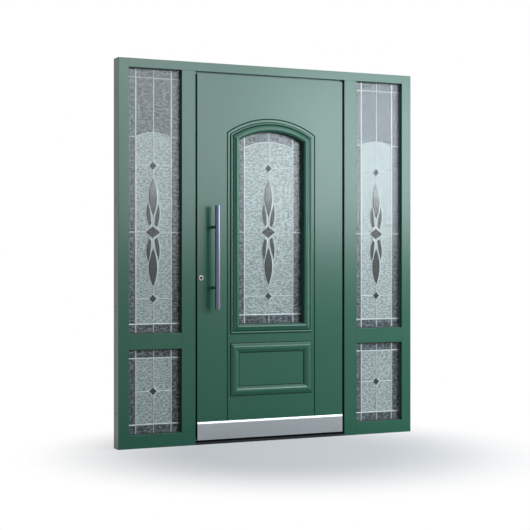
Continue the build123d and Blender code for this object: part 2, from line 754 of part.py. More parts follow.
for name, centre in zip(("lower", "middle", "upper"), HINGE_ZS):
    foot = centre - HINGE_L / 2
    middle = foot + KNUCKLE_L + KNUCKLE_GAP
    top = middle + KNUCKLE_L + KNUCKLE_GAP
    with BuildPart() as frame_hinge:
        for z in (foot, top):
            knuckle(z, KNUCKLE_R, KNUCKLE_L)
            hinge_wing(z, 1, DOOR_WEB)
        knuckle(foot, PIN_R, HINGE_L)
    save(frame_hinge, f"{name}_hinge_frame_part")

    with BuildPart() as leaf_hinge:
        knuckle(middle, KNUCKLE_R, KNUCKLE_L)
        hinge_wing(middle, -1, LEAF_HALF)
        knuckle(middle, PIN_R + PIN_CLEAR, KNUCKLE_L, mode=Mode.SUBTRACT)
    save(leaf_hinge, f"{name}_hinge_leaf_part")
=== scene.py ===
# %% [markdown]
# # A green front door with leaded glass
#
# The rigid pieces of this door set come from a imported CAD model, which stays exactly where it is.
# This lesson dresses it: it gives every piece a finish made of nodes, and adds the thin work that a
# CAD model leaves out, such as lead lines, bevelled glass, solder joints and screws. All lengths
# are metres, X runs across the set, Y into the house and Z up.

# %% Load the frame
import json
from math import asin, cos, hypot, pi, radians, sin, sqrt, tan

import bmesh
import bpy
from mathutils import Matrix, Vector


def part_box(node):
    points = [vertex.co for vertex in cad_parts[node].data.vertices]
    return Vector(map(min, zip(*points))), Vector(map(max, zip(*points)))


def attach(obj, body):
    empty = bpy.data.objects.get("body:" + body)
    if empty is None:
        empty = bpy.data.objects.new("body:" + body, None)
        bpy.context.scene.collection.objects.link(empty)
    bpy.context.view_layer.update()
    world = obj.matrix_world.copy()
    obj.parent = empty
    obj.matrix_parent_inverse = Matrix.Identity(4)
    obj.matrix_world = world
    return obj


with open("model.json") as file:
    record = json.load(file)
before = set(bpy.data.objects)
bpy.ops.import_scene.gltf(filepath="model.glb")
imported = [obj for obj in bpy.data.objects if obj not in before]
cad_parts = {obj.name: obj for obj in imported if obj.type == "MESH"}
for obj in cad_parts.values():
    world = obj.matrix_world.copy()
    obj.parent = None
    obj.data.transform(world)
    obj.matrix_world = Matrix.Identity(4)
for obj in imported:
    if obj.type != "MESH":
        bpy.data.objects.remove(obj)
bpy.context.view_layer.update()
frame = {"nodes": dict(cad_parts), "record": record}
nodes = frame["nodes"]

# %% [markdown]
# ## Camera
#
# The photograph is a picture with upright verticals, so its camera looks level and the picture is
# slid down a little to take in the floor. A level camera with a small vertical shift gives that.
# Tilting the camera would make the jambs lean together.

# %% Camera at the photograph's place
PHOTO_PX = 530
FOCAL_PX = 1341
HORIZON_PX = 256
SENSOR_MM = 36
EYE = (-3.377, -7.186, 1.086)
TURN = radians(25)

camera_data = bpy.data.cameras.new("camera")
camera_data.sensor_width = SENSOR_MM
camera_data.lens = FOCAL_PX * SENSOR_MM / PHOTO_PX
camera_data.shift_y = HORIZON_PX / PHOTO_PX - 0.5
camera = bpy.data.objects.new("camera", camera_data)
camera.location = EYE
camera.rotation_euler = (radians(90), 0, -TURN)
bpy.context.collection.objects.link(camera)
bpy.context.scene.camera = camera
print("lens mm:", round(camera_data.lens, 1), "shift:", round(camera_data.shift_y, 4))

# %% [markdown]
# ## Shader maths as Python
#
# A finish is a small sum over a surface: where am I, is this inside a border, how rough is it here.
# Written as node after node that is hard to read. This class wraps one output of a node, so that
# Python's own operators add the Math nodes, and one method makes any other node from its type, its
# settings and its sockets.

# %% A wire between nodes
class Wire:
    """One output of a material's nodes that takes part in Python expressions."""

    def __init__(self, tree, socket=None):
        self.tree, self.socket = tree, socket

    def make(self, kind, settings=None, sockets=None, out=0):
        """A new node: settings are set first, then each socket gets its value or its link."""
        node = self.tree.nodes.new("ShaderNode" + kind)
        for name, value in (settings or {}).items():
            setattr(node, name, value)
        for name, value in (sockets or {}).items():
            socket = node.inputs[name]
            if isinstance(value, Wire):
                self.tree.links.new(value.socket, socket)
            elif isinstance(value, tuple) and len(socket.default_value) > len(value):
                socket.default_value = (*value, 1.0)
            else:
                socket.default_value = value
        return Wire(self.tree, node.outputs[out] if node.outputs else None)

    def math(self, operation, *values):
        return self.make("Math", {"operation": operation}, dict(enumerate(values)))

    def __add__(self, other):
        return self.math("ADD", self, other)

    def __sub__(self, other):
        return self.math("SUBTRACT", self, other)

    def __rsub__(self, other):
        return self.math("SUBTRACT", other, self)

    def __mul__(self, other):
        return self.math("MULTIPLY", self, other)

    def __pow__(self, other):
        return self.math("POWER", self, other)

    def __gt__(self, other):
        return self.math("GREATER_THAN", self, other)

    def __lt__(self, other):
        return self.math("LESS_THAN", self, other)

    def __or__(self, other):
        return self.math("MAXIMUM", self, other)

    def __and__(self, other):
        return self.math("MINIMUM", self, other)

    def __abs__(self):
        return self.math("ABSOLUTE", self)

    __radd__, __rmul__ = __add__, __mul__

    def blend(self, first, second):
        """A colour between two colours, with this wire as the share of the second."""
        return self.make("Mix", {"data_type": "RGBA"}, {0: self, 6: first, 7: second}, out=2)


def new_finish(name):
    """A material with no nodes, and the wire that starts its expressions."""
    material = bpy.data.materials.new(name)
    material.use_nodes = True
    material.node_tree.nodes.clear()
    return material, Wire(material.node_tree)


def places(start):
    """Where a point of the surface is, in the part's own metres."""
    return start.make("TexCoord", out="Object")


def grain(start, where, waves, detail=3.0):
    """Noise from 0 to 1 with so many waves to the metre, alike all ways or along X, Y and Z."""
    stretch = waves if isinstance(waves, tuple) else (waves,) * 3
    scaled = start.make("Mapping", sockets={"Vector": where, "Scale": stretch})
    return start.make("TexNoise", sockets={"Vector": scaled, "Scale": 1.0, "Detail": detail})


def soft_step(start, value, low, high):
    """A smooth step from 0 to 1 between two limits."""
    return start.make("MapRange", {"interpolation_type": "SMOOTHSTEP"}, {0: value, 1: low, 2: high})


def bumped(start, height, depth):
    """The normal of a surface whose relief is a wire from 0 to 1 times a depth in metres."""
    return start.make("Bump", sockets={"Height": height, "Distance": depth, "Strength": 1.0})


def surface(start, **sockets):
    """Ends a finish in a Principled shader with these sockets."""
    named = {name.replace("_", " "): value for name, value in sockets.items()}
    shader = start.make("BsdfPrincipled", sockets=named)
    start.make("OutputMaterial", sockets={"Surface": shader})


print("wire operators ready")

# %% [markdown]
# ## Stage
#
# A pale floor takes the contact shadow and fades into a white surround. The white is only for rays
# that show the background: to the lamps' light the surround is nearly black, so that the shadows
# stay deep.

# %% Floor and surround
FLOOR_HALF = 30
FADE_START, FADE_END = 0.45, 1.55
FADE_FROM = (-0.1, -0.5, 0.0)
FLOOR_GREY = (0.42, 0.45, 0.47)
FLOOR_DULL, FLOOR_WAVES = 0.96, 1.5
FLOOR_GLOW = 0.30
AMBIENT = 0.05
WHITE = (1.0, 1.0, 1.0)
BACKGROUND_RAYS = "Is Camera Ray", "Is Glossy Ray", "Is Transmission Ray"


def background_rays(start):
    """1 for rays that show the background: straight to the camera, mirrored or through glass."""
    seen, mirrored, through = (start.make("LightPath", out=kind) for kind in BACKGROUND_RAYS)
    return seen | mirrored | through


floor_finish, start = new_finish("pale_floor")
where = places(start)
reach = start.make("VectorMath", {"operation": "DISTANCE"}, {0: where, 1: FADE_FROM}, out="Value")
fade = soft_step(start, reach, FADE_START, FADE_END)
cloud = grain(start, where, FLOOR_WAVES)
stone = cloud.blend(tuple(c * FLOOR_DULL for c in FLOOR_GREY), FLOOR_GREY)
matt = start.make("BsdfDiffuse", sockets={"Color": stone})
white = start.make("Emission", sockets={"Color": WHITE, "Strength": 1.0})
faded = (FLOOR_GLOW + (1 - FLOOR_GLOW) * fade) * background_rays(start)
mixed = start.make("MixShader", sockets={0: faded, 1: matt, 2: white})
start.make("OutputMaterial", sockets={"Surface": mixed})

bpy.ops.mesh.primitive_plane_add(size=2 * FLOOR_HALF)
floor = bpy.context.object
floor.name = "floor"
floor.data.materials.append(floor_finish)

world = bpy.data.worlds.new("surround")
bpy.context.scene.world = world
world.use_nodes = True
world.node_tree.nodes.clear()
start = Wire(world.node_tree)
level = AMBIENT + (1 - AMBIENT) * background_rays(start)
sky = start.make("Background", sockets={"Color": WHITE, "Strength": level})
start.make("OutputWorld", sockets={"Surface": sky})
bpy.context.scene.view_settings.view_transform = "Standard"
print("floor half size:", FLOOR_HALF, "ambient:", AMBIENT)

# %% [markdown]
# ## Lamps
#
# Two soft panels stand in front and to the right. They are the main light, and their mirror image
# in the satin paint is the pale sheen over the upper half of the door. The sky and top panels light
# what faces up, a narrow strip on the right draws bright edges on the mouldings, and a panel behind
# lights the inside. A sun with a small disc adds the shadow of the pull bar.

# %% Lamps
SUN_LEVEL = 0.40
SUN_SIDE, SUN_HEIGHT, SUN_DISC = radians(17), radians(14), radians(4)
DAYLIGHT = (0.88, 0.94, 1.0)
PANELS = {
    "front_left_panel": dict(bright=5.8, size=(1.7, 1.75), at=(1.05, -4.0, 2.13), tilt=90, turn=0),
    "front_panel": dict(bright=12.0, size=(3.5, 1.75), at=(3.65, -4.0, 2.13), tilt=90, turn=0),
    "sky_panel": dict(bright=1.0, size=(5.0, 3.0), at=(1.5, -2.6, 4.1), tilt=45, turn=0),
    "top_panel": dict(bright=2.4, size=(4.4, 2.0), at=(0.5, -0.7, 4.2), tilt=0, turn=0),
    "right_strip": dict(bright=16.0, size=(0.5, 2.6), at=(4.2, -2.3, 1.7), tilt=90, turn=90),
    "back_panel": dict(bright=5.0, size=(3.0, 2.4), at=(1.6, 4.5, 2.0), tilt=90, turn=180),
}


def soft_panel(name, bright, size, at, tilt, turn):
    """A rectangle of light, with its brightness as seen and not its total power."""
    lamp = bpy.data.lights.new(name, "AREA")
    lamp.shape = "RECTANGLE"
    lamp.size, lamp.size_y = size
    lamp.energy = bright * pi * size[0] * size[1]
    lamp.color = DAYLIGHT
    panel = bpy.data.objects.new(name, lamp)
    panel.location = at
    panel.rotation_euler = (radians(tilt), 0, radians(turn))
    bpy.context.collection.objects.link(panel)


for panel_name, settings in PANELS.items():
    soft_panel(panel_name, **settings)
sun_lamp = bpy.data.lights.new("sun", "SUN")
sun_lamp.energy = SUN_LEVEL
sun_lamp.angle = SUN_DISC
sun = bpy.data.objects.new("sun", sun_lamp)
sun.rotation_euler = (radians(90) - SUN_HEIGHT, 0, SUN_SIDE)
bpy.context.collection.objects.link(sun)
print("panels:", {name: panel["bright"] for name, panel in PANELS.items()}, "sun:", SUN_LEVEL)

# %% [markdown]
# ## Powder coated aluminium
#
# The frame, the leaf and the hinges are aluminium with a satin green powder coat. Melted powder
# leaves a faint orange peel a few millimetres across and tiny changes of gloss. Noise gives both,
# at their true size, and the colour drifts by a few percent over a profile as it does between
# batches of powder.

# %% Green paint
GREEN = (0.0045, 0.066, 0.038)
GREEN_PALE = (0.0060, 0.074, 0.044)
DRIFT_WAVES, GLOSS_WAVES = (2.0, 2.0, 1.2), 9.0
PEEL_WAVES, PEEL_DEPTH = 320.0, 0.00002
PAINT_ROUGH, PAINT_UNEVEN = 0.22, 0.06
PAINT_MIRROR = 0.36


def green_paint(name):
    material, start = new_finish(name)
    where = places(start)
    drift = grain(start, where, DRIFT_WAVES)
    peel = grain(start, where, PEEL_WAVES, detail=2.0)
    surface(
        start,
        Base_Color=drift.blend(GREEN, GREEN_PALE),
        Roughness=PAINT_ROUGH + PAINT_UNEVEN * grain(start, where, GLOSS_WAVES),
        Specular_IOR_Level=PAINT_MIRROR,
        Normal=bumped(start, peel, PEEL_DEPTH),
    )
    return material


frame_paint = green_paint("frame_paint")
leaf_paint = green_paint("leaf_paint")
hinge_paint = green_paint("hinge_paint")
print("paint:", GREEN)

# %% [markdown]
# ## Brushed steel
#
# The kick plate, bar and lock plates are stainless steel, ground with a belt. The belt leaves fine
# scratches along the length of each piece. Noise that is stretched along one axis makes such lines,
# so the finish is made once for each direction. The bar's darker, bluer colour is a painted
# reflection of a blue sky and dark surroundings, and the bar, its posts and the lock's rose are
# smoother.

# %% Steel ground along one axis
STEEL = (0.22, 0.24, 0.25), (0.29, 0.31, 0.32)
# painted reflection: the bar's dark blue tones stand in for the sky and surroundings its steel
# mirrors
STEEL_WITH_PAINTED_SKY = (0.080, 0.096, 0.136), (0.118, 0.134, 0.178)
POLISHED = (0.24, 0.26, 0.265), (0.30, 0.32, 0.325)
FINE, LONG = 900.0, 5.0
CLOUD_WAVES, SCRATCH_DEPTH = 6.0, 0.00001
SCRATCH_ROUGH, CLOUD_ROUGH = 0.14, 0.06
GROUND_ROUGH, POLISHED_ROUGH = 0.24, 0.12


def brushed_steel(name, axis, tones, rough):
    material, start = new_finish(name)
    where = places(start)
    stretch = tuple(LONG if letter == axis else FINE for letter in "XYZ")
    lines = grain(start, where, stretch, detail=4.0)
    cloud = grain(start, where, CLOUD_WAVES)
    surface(
        start,
        Base_Color=lines.blend(*tones),
        Metallic=1.0,
        Roughness=rough + SCRATCH_ROUGH * lines + CLOUD_ROUGH * cloud,
        Normal=bumped(start, lines, SCRATCH_DEPTH),
    )
    return material


plate_steel = brushed_steel("plate_steel", "X", STEEL, GROUND_ROUGH)
lock_steel = brushed_steel("lock_steel", "Z", STEEL, GROUND_ROUGH)
bar_steel = brushed_steel("bar_steel", "Z", STEEL_WITH_PAINTED_SKY, POLISHED_ROUGH)
post_steel = brushed_steel("post_steel", "Y", POLISHED, POLISHED_ROUGH)
print("steel finishes:", [m.name for m in (plate_steel, lock_steel, bar_steel, post_steel)])

# %% [markdown]
# ## Rubber, sill and spacer
#
# The dark pieces frame the glass and the leaf. Rubber is matt with a bloom, the sill and the core
# of the lock are dark anodised aluminium drawn along X, and the spacer bars between the panes are
# dull plastic with a row of small breathing holes.

# %% Dark trims
BLACK_RUBBER = (0.010, 0.011, 0.011)
RUBBER_BLOOM = (0.022, 0.023, 0.024)
BLOOM_WAVES, PORE_WAVES, PORE_DEPTH = 30.0, 700.0, 0.00003
RUBBER_ROUGH, BLOOM_ROUGH = 0.6, 0.2
DARK_ANODISED = (0.005, 0.006, 0.007)
ANODISED_PALE = (0.009, 0.011, 0.012)
DRAWN_WAVES, DRAWN_DEPTH = (4.0, 600.0, 600.0), 0.00002
ANODISED_METAL, ANODISED_ROUGH, DRAWN_ROUGH = 0.6, 0.34, 0.16
SPACER_BROWN = (0.30, 0.275, 0.265)
SPACER_HOLE = (0.012, 0.011, 0.011)
HOLES_TO_METRE, HOLE_SIZE = 200.0, 0.22
SPACER_WAVES, SPACER_ROUGH, SPACER_UNEVEN = 60.0, 0.5, 0.2


def rubber():
    material, start = new_finish("black_rubber")
    where = places(start)
    bloom = grain(start, where, BLOOM_WAVES, detail=5.0)
    surface(
        start,
        Base_Color=bloom.blend(BLACK_RUBBER, RUBBER_BLOOM),
        Roughness=RUBBER_ROUGH + BLOOM_ROUGH * bloom,
        Normal=bumped(start, grain(start, where, PORE_WAVES), PORE_DEPTH),
    )
    return material


def anodised():
    material, start = new_finish("dark_anodised")
    where = places(start)
    lines = grain(start, where, DRAWN_WAVES)
    surface(
        start,
        Base_Color=lines.blend(DARK_ANODISED, ANODISED_PALE),
        Metallic=ANODISED_METAL,
        Roughness=ANODISED_ROUGH + DRAWN_ROUGH * lines,
        Normal=bumped(start, lines, DRAWN_DEPTH),
    )
    return material


def spacer_plastic():
    material, start = new_finish("spacer_plastic")
    where = places(start)
    grid = {"Vector": where, "Scale": HOLES_TO_METRE, "Randomness": 0.0}
    holes = start.make("TexVoronoi", sockets=grid) < HOLE_SIZE
    surface(
        start,
        Base_Color=holes.blend(SPACER_BROWN, SPACER_HOLE),
        Roughness=SPACER_ROUGH + SPACER_UNEVEN * grain(start, where, SPACER_WAVES),
    )
    return material


black_rubber = rubber()
dark_metal = anodised()
spacer_finish = spacer_plastic()
print("dark trims:", [m.name for m in (black_rubber, dark_metal, spacer_finish)])

# %% [markdown]
# ## Clear panes
#
# Real window glass sends most light straight through and mirrors a little, more at a glancing
# angle. A glass shader would do it, but it keeps lamplight from the leaded pane behind. A
# see-through shader mixed with a mirror lets the lamps in. The mirrored share follows the angle by
# the usual fifth power rule, on the side that faces the ray.

# %% Window glass
HEAD_ON, ANGLE_POWER = 0.0155, 5.0
GLASS_TINT = (0.965, 0.985, 0.975)
WIPE_WAVES, MIRROR_ROUGH, WIPE_ROUGH = 3.0, 0.18, 0.06


def window_glass():
    material, start = new_finish("window_glass")
    where = places(start)
    edge_on = start.make("LayerWeight", sockets={"Blend": 0.5}, out="Facing")
    share = HEAD_ON + (1 - HEAD_ON) * edge_on**ANGLE_POWER
    outside = 1 - start.make("NewGeometry", out="Backfacing")
    clear = start.make("BsdfTransparent", sockets={"Color": GLASS_TINT})
    rough = MIRROR_ROUGH + WIPE_ROUGH * grain(start, where, WIPE_WAVES)
    mirror = start.make("BsdfAnisotropic", sockets={"Color": WHITE, "Roughness": rough})
    mixed = start.make("MixShader", sockets={0: share * outside, 1: clear, 2: mirror})
    start.make("OutputMaterial", sockets={"Surface": mixed})
    return material


clear_glass = window_glass()
print("head-on mirror share:", HEAD_ON)

# %% [markdown]
# ## The lead pattern's setting out
#
# The middle pane of every unit is leaded. One flower of two lenses, four petals and a diamond sits
# on the centre line, with a small diamond above and below, and a border of darker glass runs round
# it. Its places are measured from the openings of the frame, so the lines meet the gaskets exactly.

# %% Openings and pattern sizes
GLASS_COVER, AT_EDGE = 0.016, 1e-4
BORDER = 0.052
DOOR_ARCH_BORDER = 0.060
SIDE_ARCH_DROP = 0.362
SIDE_ARCH_RISE = 0.025
FLOWER_SIDE_Z, FLOWER_DOOR_Z = 1.221, 1.226
SMALL_DROP = 0.378
LOWER_FLOWER_Z = 0.316

pane_low, pane_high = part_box("sidelight_leaded_panes")
door_low, door_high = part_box("door_leaded_pane")
sight_out, sight_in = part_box("right_jamb")[0].x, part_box("right_mullion")[1].x
SIDE_X = (sight_out + sight_in) / 2
SIDE_HALF = (sight_out - sight_in) / 2
LOWER_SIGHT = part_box("right_bottom_rail")[1].z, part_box("right_transom")[0].z
UPPER_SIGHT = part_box("right_transom")[1].z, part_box("head")[0].z

door_points = [v.co for v in nodes["door_leaded_pane"].data.vertices]
pane_spring = max(p.z for p in door_points if p.x > door_high.x - AT_EDGE)
pane_rise = door_high.z - pane_spring
PANE_R = (door_high.x**2 + pane_rise**2) / (2 * pane_rise)
ARCH_Z = door_high.z - PANE_R
DOOR_HALF = door_high.x - GLASS_COVER
DOOR_SIGHT = door_low.z + GLASS_COVER, door_high.z - GLASS_COVER
DOOR_LEAD_R = PANE_R - GLASS_COVER - DOOR_ARCH_BORDER

side_lead = SIDE_HALF - BORDER
door_lead = DOOR_HALF - BORDER
side_spring = UPPER_SIGHT[1] - SIDE_ARCH_DROP - SIDE_ARCH_RISE
SIDE_ARCH_R = (side_lead**2 + SIDE_ARCH_RISE**2) / (2 * SIDE_ARCH_RISE)
side_arch_z = side_spring + SIDE_ARCH_RISE - SIDE_ARCH_R
print("half widths:", round(SIDE_HALF, 4), round(DOOR_HALF, 4), "arch radius:", round(PANE_R, 4))

# %% [markdown]
# ## Leaded glass
#
# Two kinds of rolled glass fill the pattern: a pale one with fine crosswise ripples in the field,
# and a dark one with coarse ripples in the border and over the arch. They share a pane here, so
# masks drawn from the same setting out tell them apart, and the lead lines cover the seams.

# %% Rolled glass, pale and dark
FIELD_PALE, FIELD_DEEP = (0.375, 0.40, 0.40), (0.175, 0.192, 0.192)
BORDER_PALE, BORDER_DEEP = (0.140, 0.153, 0.170), (0.030, 0.035, 0.042)
FIELD_WAVES, BORDER_WAVES = (58.0, 44.0, 138.0), (46.0, 36.0, 84.0)
FIELD_STEP, BORDER_STEP = (0.38, 0.62), (0.38, 0.64)
FIELD_RELIEF, RIPPLE_DEPTH = 0.5, 0.0016
FIELD_ROUGH, BORDER_SMOOTHER = 0.30, 0.08
ROLLED_MIRROR = 0.15


def rolled_glass(name, dark_zone):
    """Glass whose dark zone is a mask made from a point's X and Z."""
    material, start = new_finish(name)
    where = places(start)
    fine = grain(start, where, FIELD_WAVES)
    coarse = grain(start, where, BORDER_WAVES, detail=2.0)
    x, z = (start.make("SeparateXYZ", sockets={0: where}, out=axis) for axis in "XZ")
    dark = dark_zone(x, z)
    field = soft_step(start, fine, *FIELD_STEP).blend(FIELD_DEEP, FIELD_PALE)
    border = soft_step(start, coarse, *BORDER_STEP).blend(BORDER_DEEP, BORDER_PALE)
    relief = FIELD_RELIEF * fine * (1 - dark) + coarse * dark
    surface(
        start,
        Base_Color=dark.blend(field, border),
        Roughness=FIELD_ROUGH - BORDER_SMOOTHER * dark,
        Specular_IOR_Level=ROLLED_MIRROR,
        Normal=bumped(start, relief, RIPPLE_DEPTH),
    )
    return material


def side_dark(x, z):
    """1 where a point of the sidelights is in dark glass: the borders and all over the arch."""
    across = abs(abs(x) - SIDE_X)
    above_arch = z > side_arch_z + (SIDE_ARCH_R**2 - (across & side_lead) ** 2.0) ** 0.5
    upper = (z < UPPER_SIGHT[0] + BORDER) & (z > LOWER_SIGHT[1])
    lower = (z < LOWER_SIGHT[0] + BORDER) | ((z > LOWER_SIGHT[1] - BORDER) & (z < UPPER_SIGHT[0]))
    return (across > side_lead) | above_arch | upper | lower


def door_dark(x, z):
    """1 where a point of the door's window is in dark glass, which is its border."""
    from_centre = (x**2.0 + (z - ARCH_Z) * (z - ARCH_Z)) ** 0.5
    over_arch = (from_centre > DOOR_LEAD_R) & (z > ARCH_Z)
    return (abs(x) > door_lead) | over_arch | (z < DOOR_SIGHT[0] + BORDER)


side_rolled = rolled_glass("rolled_glass_sidelights", side_dark)
door_rolled = rolled_glass("rolled_glass_door", door_dark)
print("dark border width:", BORDER)

# %% [markdown]
# ## Finishes on the CAD pieces
#
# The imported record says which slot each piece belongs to. Each slot gets its finish, and a few
# pieces get their own, such as steel whose grain runs another way.

# %% Dress the CAD pieces
BY_SLOT = {
    "frame_paint": frame_paint,
    "leaf_paint": leaf_paint,
    "hinge": hinge_paint,
    "clear_glass": clear_glass,
    "leaded_glass": side_rolled,
    "spacer": spacer_finish,
    "gasket": black_rubber,
    "stainless": lock_steel,
    "sill": dark_metal,
}
own_finish = {
    "door_leaded_pane": door_rolled,
    "kick_plate": plate_steel,
    "inside_lever": plate_steel,
    "pull_bar": bar_steel,
    "pull_posts": post_steel,
    "cylinder_rose": post_steel,
    "lock_cylinder": dark_metal,
}
for subpart in frame["record"]["subparts"]:
    name = subpart["node"]
    for material_slot in nodes[name].material_slots:
        material_slot.material = own_finish.get(name, BY_SLOT[subpart["material_slot"]])

# %% [markdown]
# ## Lead lines
#
# A lead line is a soft bar with a rounded back on each face of the glass. Its tinned skin is dull
# in places and dented by the fingers and the iron, so noise mixes two greys and makes the gloss
# uneven.

# %% Soft lead
LEAD = (0.45, 0.465, 0.475)
LEAD_DULL = (0.31, 0.32, 0.33)
DULL_WAVES, DENT_WAVES, DENT_DEPTH = 45.0, 400.0, 0.00006
LEAD_METAL, LEAD_ROUGH, DULL_ROUGH = 0.35, 0.30, 0.25


def soft_lead():
    material, start = new_finish("tinned_lead")
    where = places(start)
    dull = grain(start, where, DULL_WAVES, detail=4.0)
    surface(
        start,
        Base_Color=dull.blend(LEAD, LEAD_DULL),
        Metallic=LEAD_METAL,
        Roughness=LEAD_ROUGH + DULL_ROUGH * dull,
        Normal=bumped(start, grain(start, where, DENT_WAVES), DENT_DEPTH),
    )
    return material


lead_finish = soft_lead()
print("lead:", LEAD)

# %% [markdown]
# ## Shapes of the thin work
#
# Two shapes make all the thin work. One is a half-oval section that follows a line, with mitred
# corners. The other is a turned shape of a few rings, for beads of solder and heads of screws. A
# last function turns a finished mesh into a piece that rides on the frame or on the leaf.

# %% Oval lines, turned shapes and pieces
SECTION_SIDES, ROUND_SIDES = 6, 12
MITRE_LEAST = 0.35
BEAD_RINGS = (1, 0), (0.75, 0.7), (0.35, 1)


def direction(a, b):
    """The way from one point to another, with length 1."""
    length = hypot(b[0] - a[0], b[1] - a[1])
    return (b[0] - a[0]) / length, (b[1] - a[1]) / length


def oval_line(mesh, points, width, height, y, out, closed=False):
    """Carries a half-oval section along points in the plane of a pane, standing out along Y."""
    count = len(points)
    rings = []
    for i, (x, z) in enumerate(points):
        before = points[i - 1] if closed or i else None
        after = points[(i + 1) % count] if closed or i + 1 < count else None
        ways = [direction(a, b) for a, b in ((before, (x, z)), ((x, z), after)) if a and b]
        along = direction((0, 0), (sum(w[0] for w in ways), sum(w[1] for w in ways)))
        mitre = 1 / max(MITRE_LEAST, along[0] * ways[0][0] + along[1] * ways[0][1])
        ring = []
        for step in range(SECTION_SIDES + 1):
            turn = pi * step / SECTION_SIDES
            off = cos(turn) * width / 2 * mitre
            place = (x - along[1] * off, y + out * sin(turn) * height, z + along[0] * off)
            ring.append(mesh.verts.new(place))
        rings.append(ring)
    for a, b in zip(rings, rings[1:] + (rings[:1] if closed else [])):
        for i in range(SECTION_SIDES):
            mesh.faces.new((a[i], a[i + 1], b[i + 1], b[i]))
    if not closed:
        mesh.faces.new(rings[0])
        mesh.faces.new(reversed(rings[-1]))


def turned_shape(mesh, place, out, rings):
    """A turned shape on a face that looks along out, from rings of radius, height and flatness.

    Every second point of a ring is drawn in by its flatness, so that a ring can be a hexagon.
    """
    turn = Vector(out).to_track_quat("Z", "Y")
    skin = []
    for radius, height, flat in rings:
        ring = []
        for i in range(ROUND_SIDES):
            angle = 2 * pi * i / ROUND_SIDES
            reach = radius * (flat if i % 2 else 1)
            point = Vector((reach * cos(angle), reach * sin(angle), height))
            ring.append(mesh.verts.new(Vector(place) + turn @ point))
        skin.append(ring)
    for a, b in zip(skin, skin[1:]):
        for i in range(ROUND_SIDES):
            j = (i + 1) % ROUND_SIDES
            mesh.faces.new((a[i], a[j], b[j], b[i]))
    mesh.faces.new(skin[-1])


def solder_bead(mesh, x, z, radius, height, y, out):
    """A low dome where lead lines meet."""
    rings = [(share * radius, rise * height, 1) for share, rise in BEAD_RINGS]
    turned_shape(mesh, (x, y, z), (0, out, 0), rings)


def add_piece(name, mesh, body, slot, *materials):
    """Turns a finished bmesh into a named piece that rides on a body."""
    bmesh.ops.recalc_face_normals(mesh, faces=mesh.faces)
    data = bpy.data.meshes.new(name)
    mesh.to_mesh(data)
    mesh.free()
    for material in materials:
        data.materials.append(material)
    piece = bpy.data.objects.new(name, data)
    bpy.context.collection.objects.link(piece)
    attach(piece, body)
    print(name, "faces:", len(data.polygons))


print("section sides:", SECTION_SIDES, "sides of turned shapes:", ROUND_SIDES)

# %% [markdown]
# ## The flower
#
# Each piece of the flower has an outline of a few arcs. The lens is two arcs that meet in two tips,
# the petal lies along the inner half of a lens and ends on the diamond. The same outlines give the
# lead round each piece and the bevelled glass inside it.

# %% Outlines of the flower
ARC_STEPS = 14
LENS_NEAR, LENS_FAR, LENS_HALF = 0.084, 0.317, 0.031
DIAMOND_W, DIAMOND_H = 0.050, 0.039
SMALL_DIAMOND = 0.028
PETAL_TIP = (0.031, 0.176)
PETAL_BULGE = (0.045, 0.100)
PETAL_FOOT = (0.022, 0.026)
PETAL_ROOT = (0.004, 0.042)
PETAL_HOLLOW = (0.013, 0.108)


def bow(first, middle, last):
    """Points along a smooth bow through three points, both ends included."""
    control = tuple(2 * m - (a + b) / 2 for a, m, b in zip(first, middle, last))
    points = []
    for i in range(ARC_STEPS + 1):
        s = i / ARC_STEPS
        shares = (1 - s) ** 2, 2 * s * (1 - s), s * s
        along = zip(first, control, last)
        points.append(tuple(sum(k * c for k, c in zip(shares, corner)) for corner in along))
    return points


def lens():
    middle = (LENS_NEAR + LENS_FAR) / 2
    right = bow((0, LENS_NEAR), (LENS_HALF, middle), (0, LENS_FAR))
    return right + [(-x, z) for x, z in reversed(right[1:-1])]


def petal():
    outer = bow(PETAL_TIP, PETAL_BULGE, PETAL_FOOT)
    inner = bow(PETAL_ROOT, PETAL_HOLLOW, PETAL_TIP)
    return outer + inner[:-1]


def diamond(half_width, half_height):
    return [(half_width, 0), (0, half_height), (-half_width, 0), (0, -half_height)]


def mirrored(outline, across, up):
    """An outline mirrored across the centre lines of the flower."""
    points = [(x * across, z * up) for x, z in outline]
    return points if across * up > 0 else points[::-1]


def shifted(outline, x, z):
    return [(px + x, pz + z) for px, pz in outline]


def flower():
    """The outlines of the flower's bevelled pieces round its own centre."""
    pieces = [diamond(DIAMOND_W, DIAMOND_H)]
    for up in (1, -1):
        pieces.append(mirrored(lens(), 1, up))
        pieces += [mirrored(petal(), across, up) for across in (1, -1)]
        pieces.append(shifted(diamond(SMALL_DIAMOND, SMALL_DIAMOND), 0, up * SMALL_DROP))
    return pieces


print("flower pieces:", len(flower()))

# %% [markdown]
# ## Lines of each pane
#
# The straight lines run from gasket to gasket, and stop at the pieces of the flower. Each pane is a
# list of lines in its own place, so the same few functions draw the door and both sidelights.

# %% Straight lines and arches
MAIN_LEAD, THIN_LEAD, ROUND_LEAD = 0.0085, 0.006, 0.0048


def stem(x, z, sight):
    """The centre line in stretches, from the top of a pane to its foot, with gaps at the flower."""
    small = SMALL_DROP + SMALL_DIAMOND
    inner = SMALL_DROP - SMALL_DIAMOND
    stops = [sight[1], z + small, z + inner, z + LENS_FAR, z + LENS_NEAR, z + DIAMOND_H]
    stops += [2 * z - stop for stop in reversed(stops[1:])] + [sight[0]]
    return [[(x, a), (x, b)] for a, b in zip(stops[::2], stops[1::2])]


def crosswise(x, z, half, gap):
    """A horizontal line with a gap in the middle."""
    return [[(x - half, z), (x - gap, z)], [(x + gap, z), (x + half, z)]]


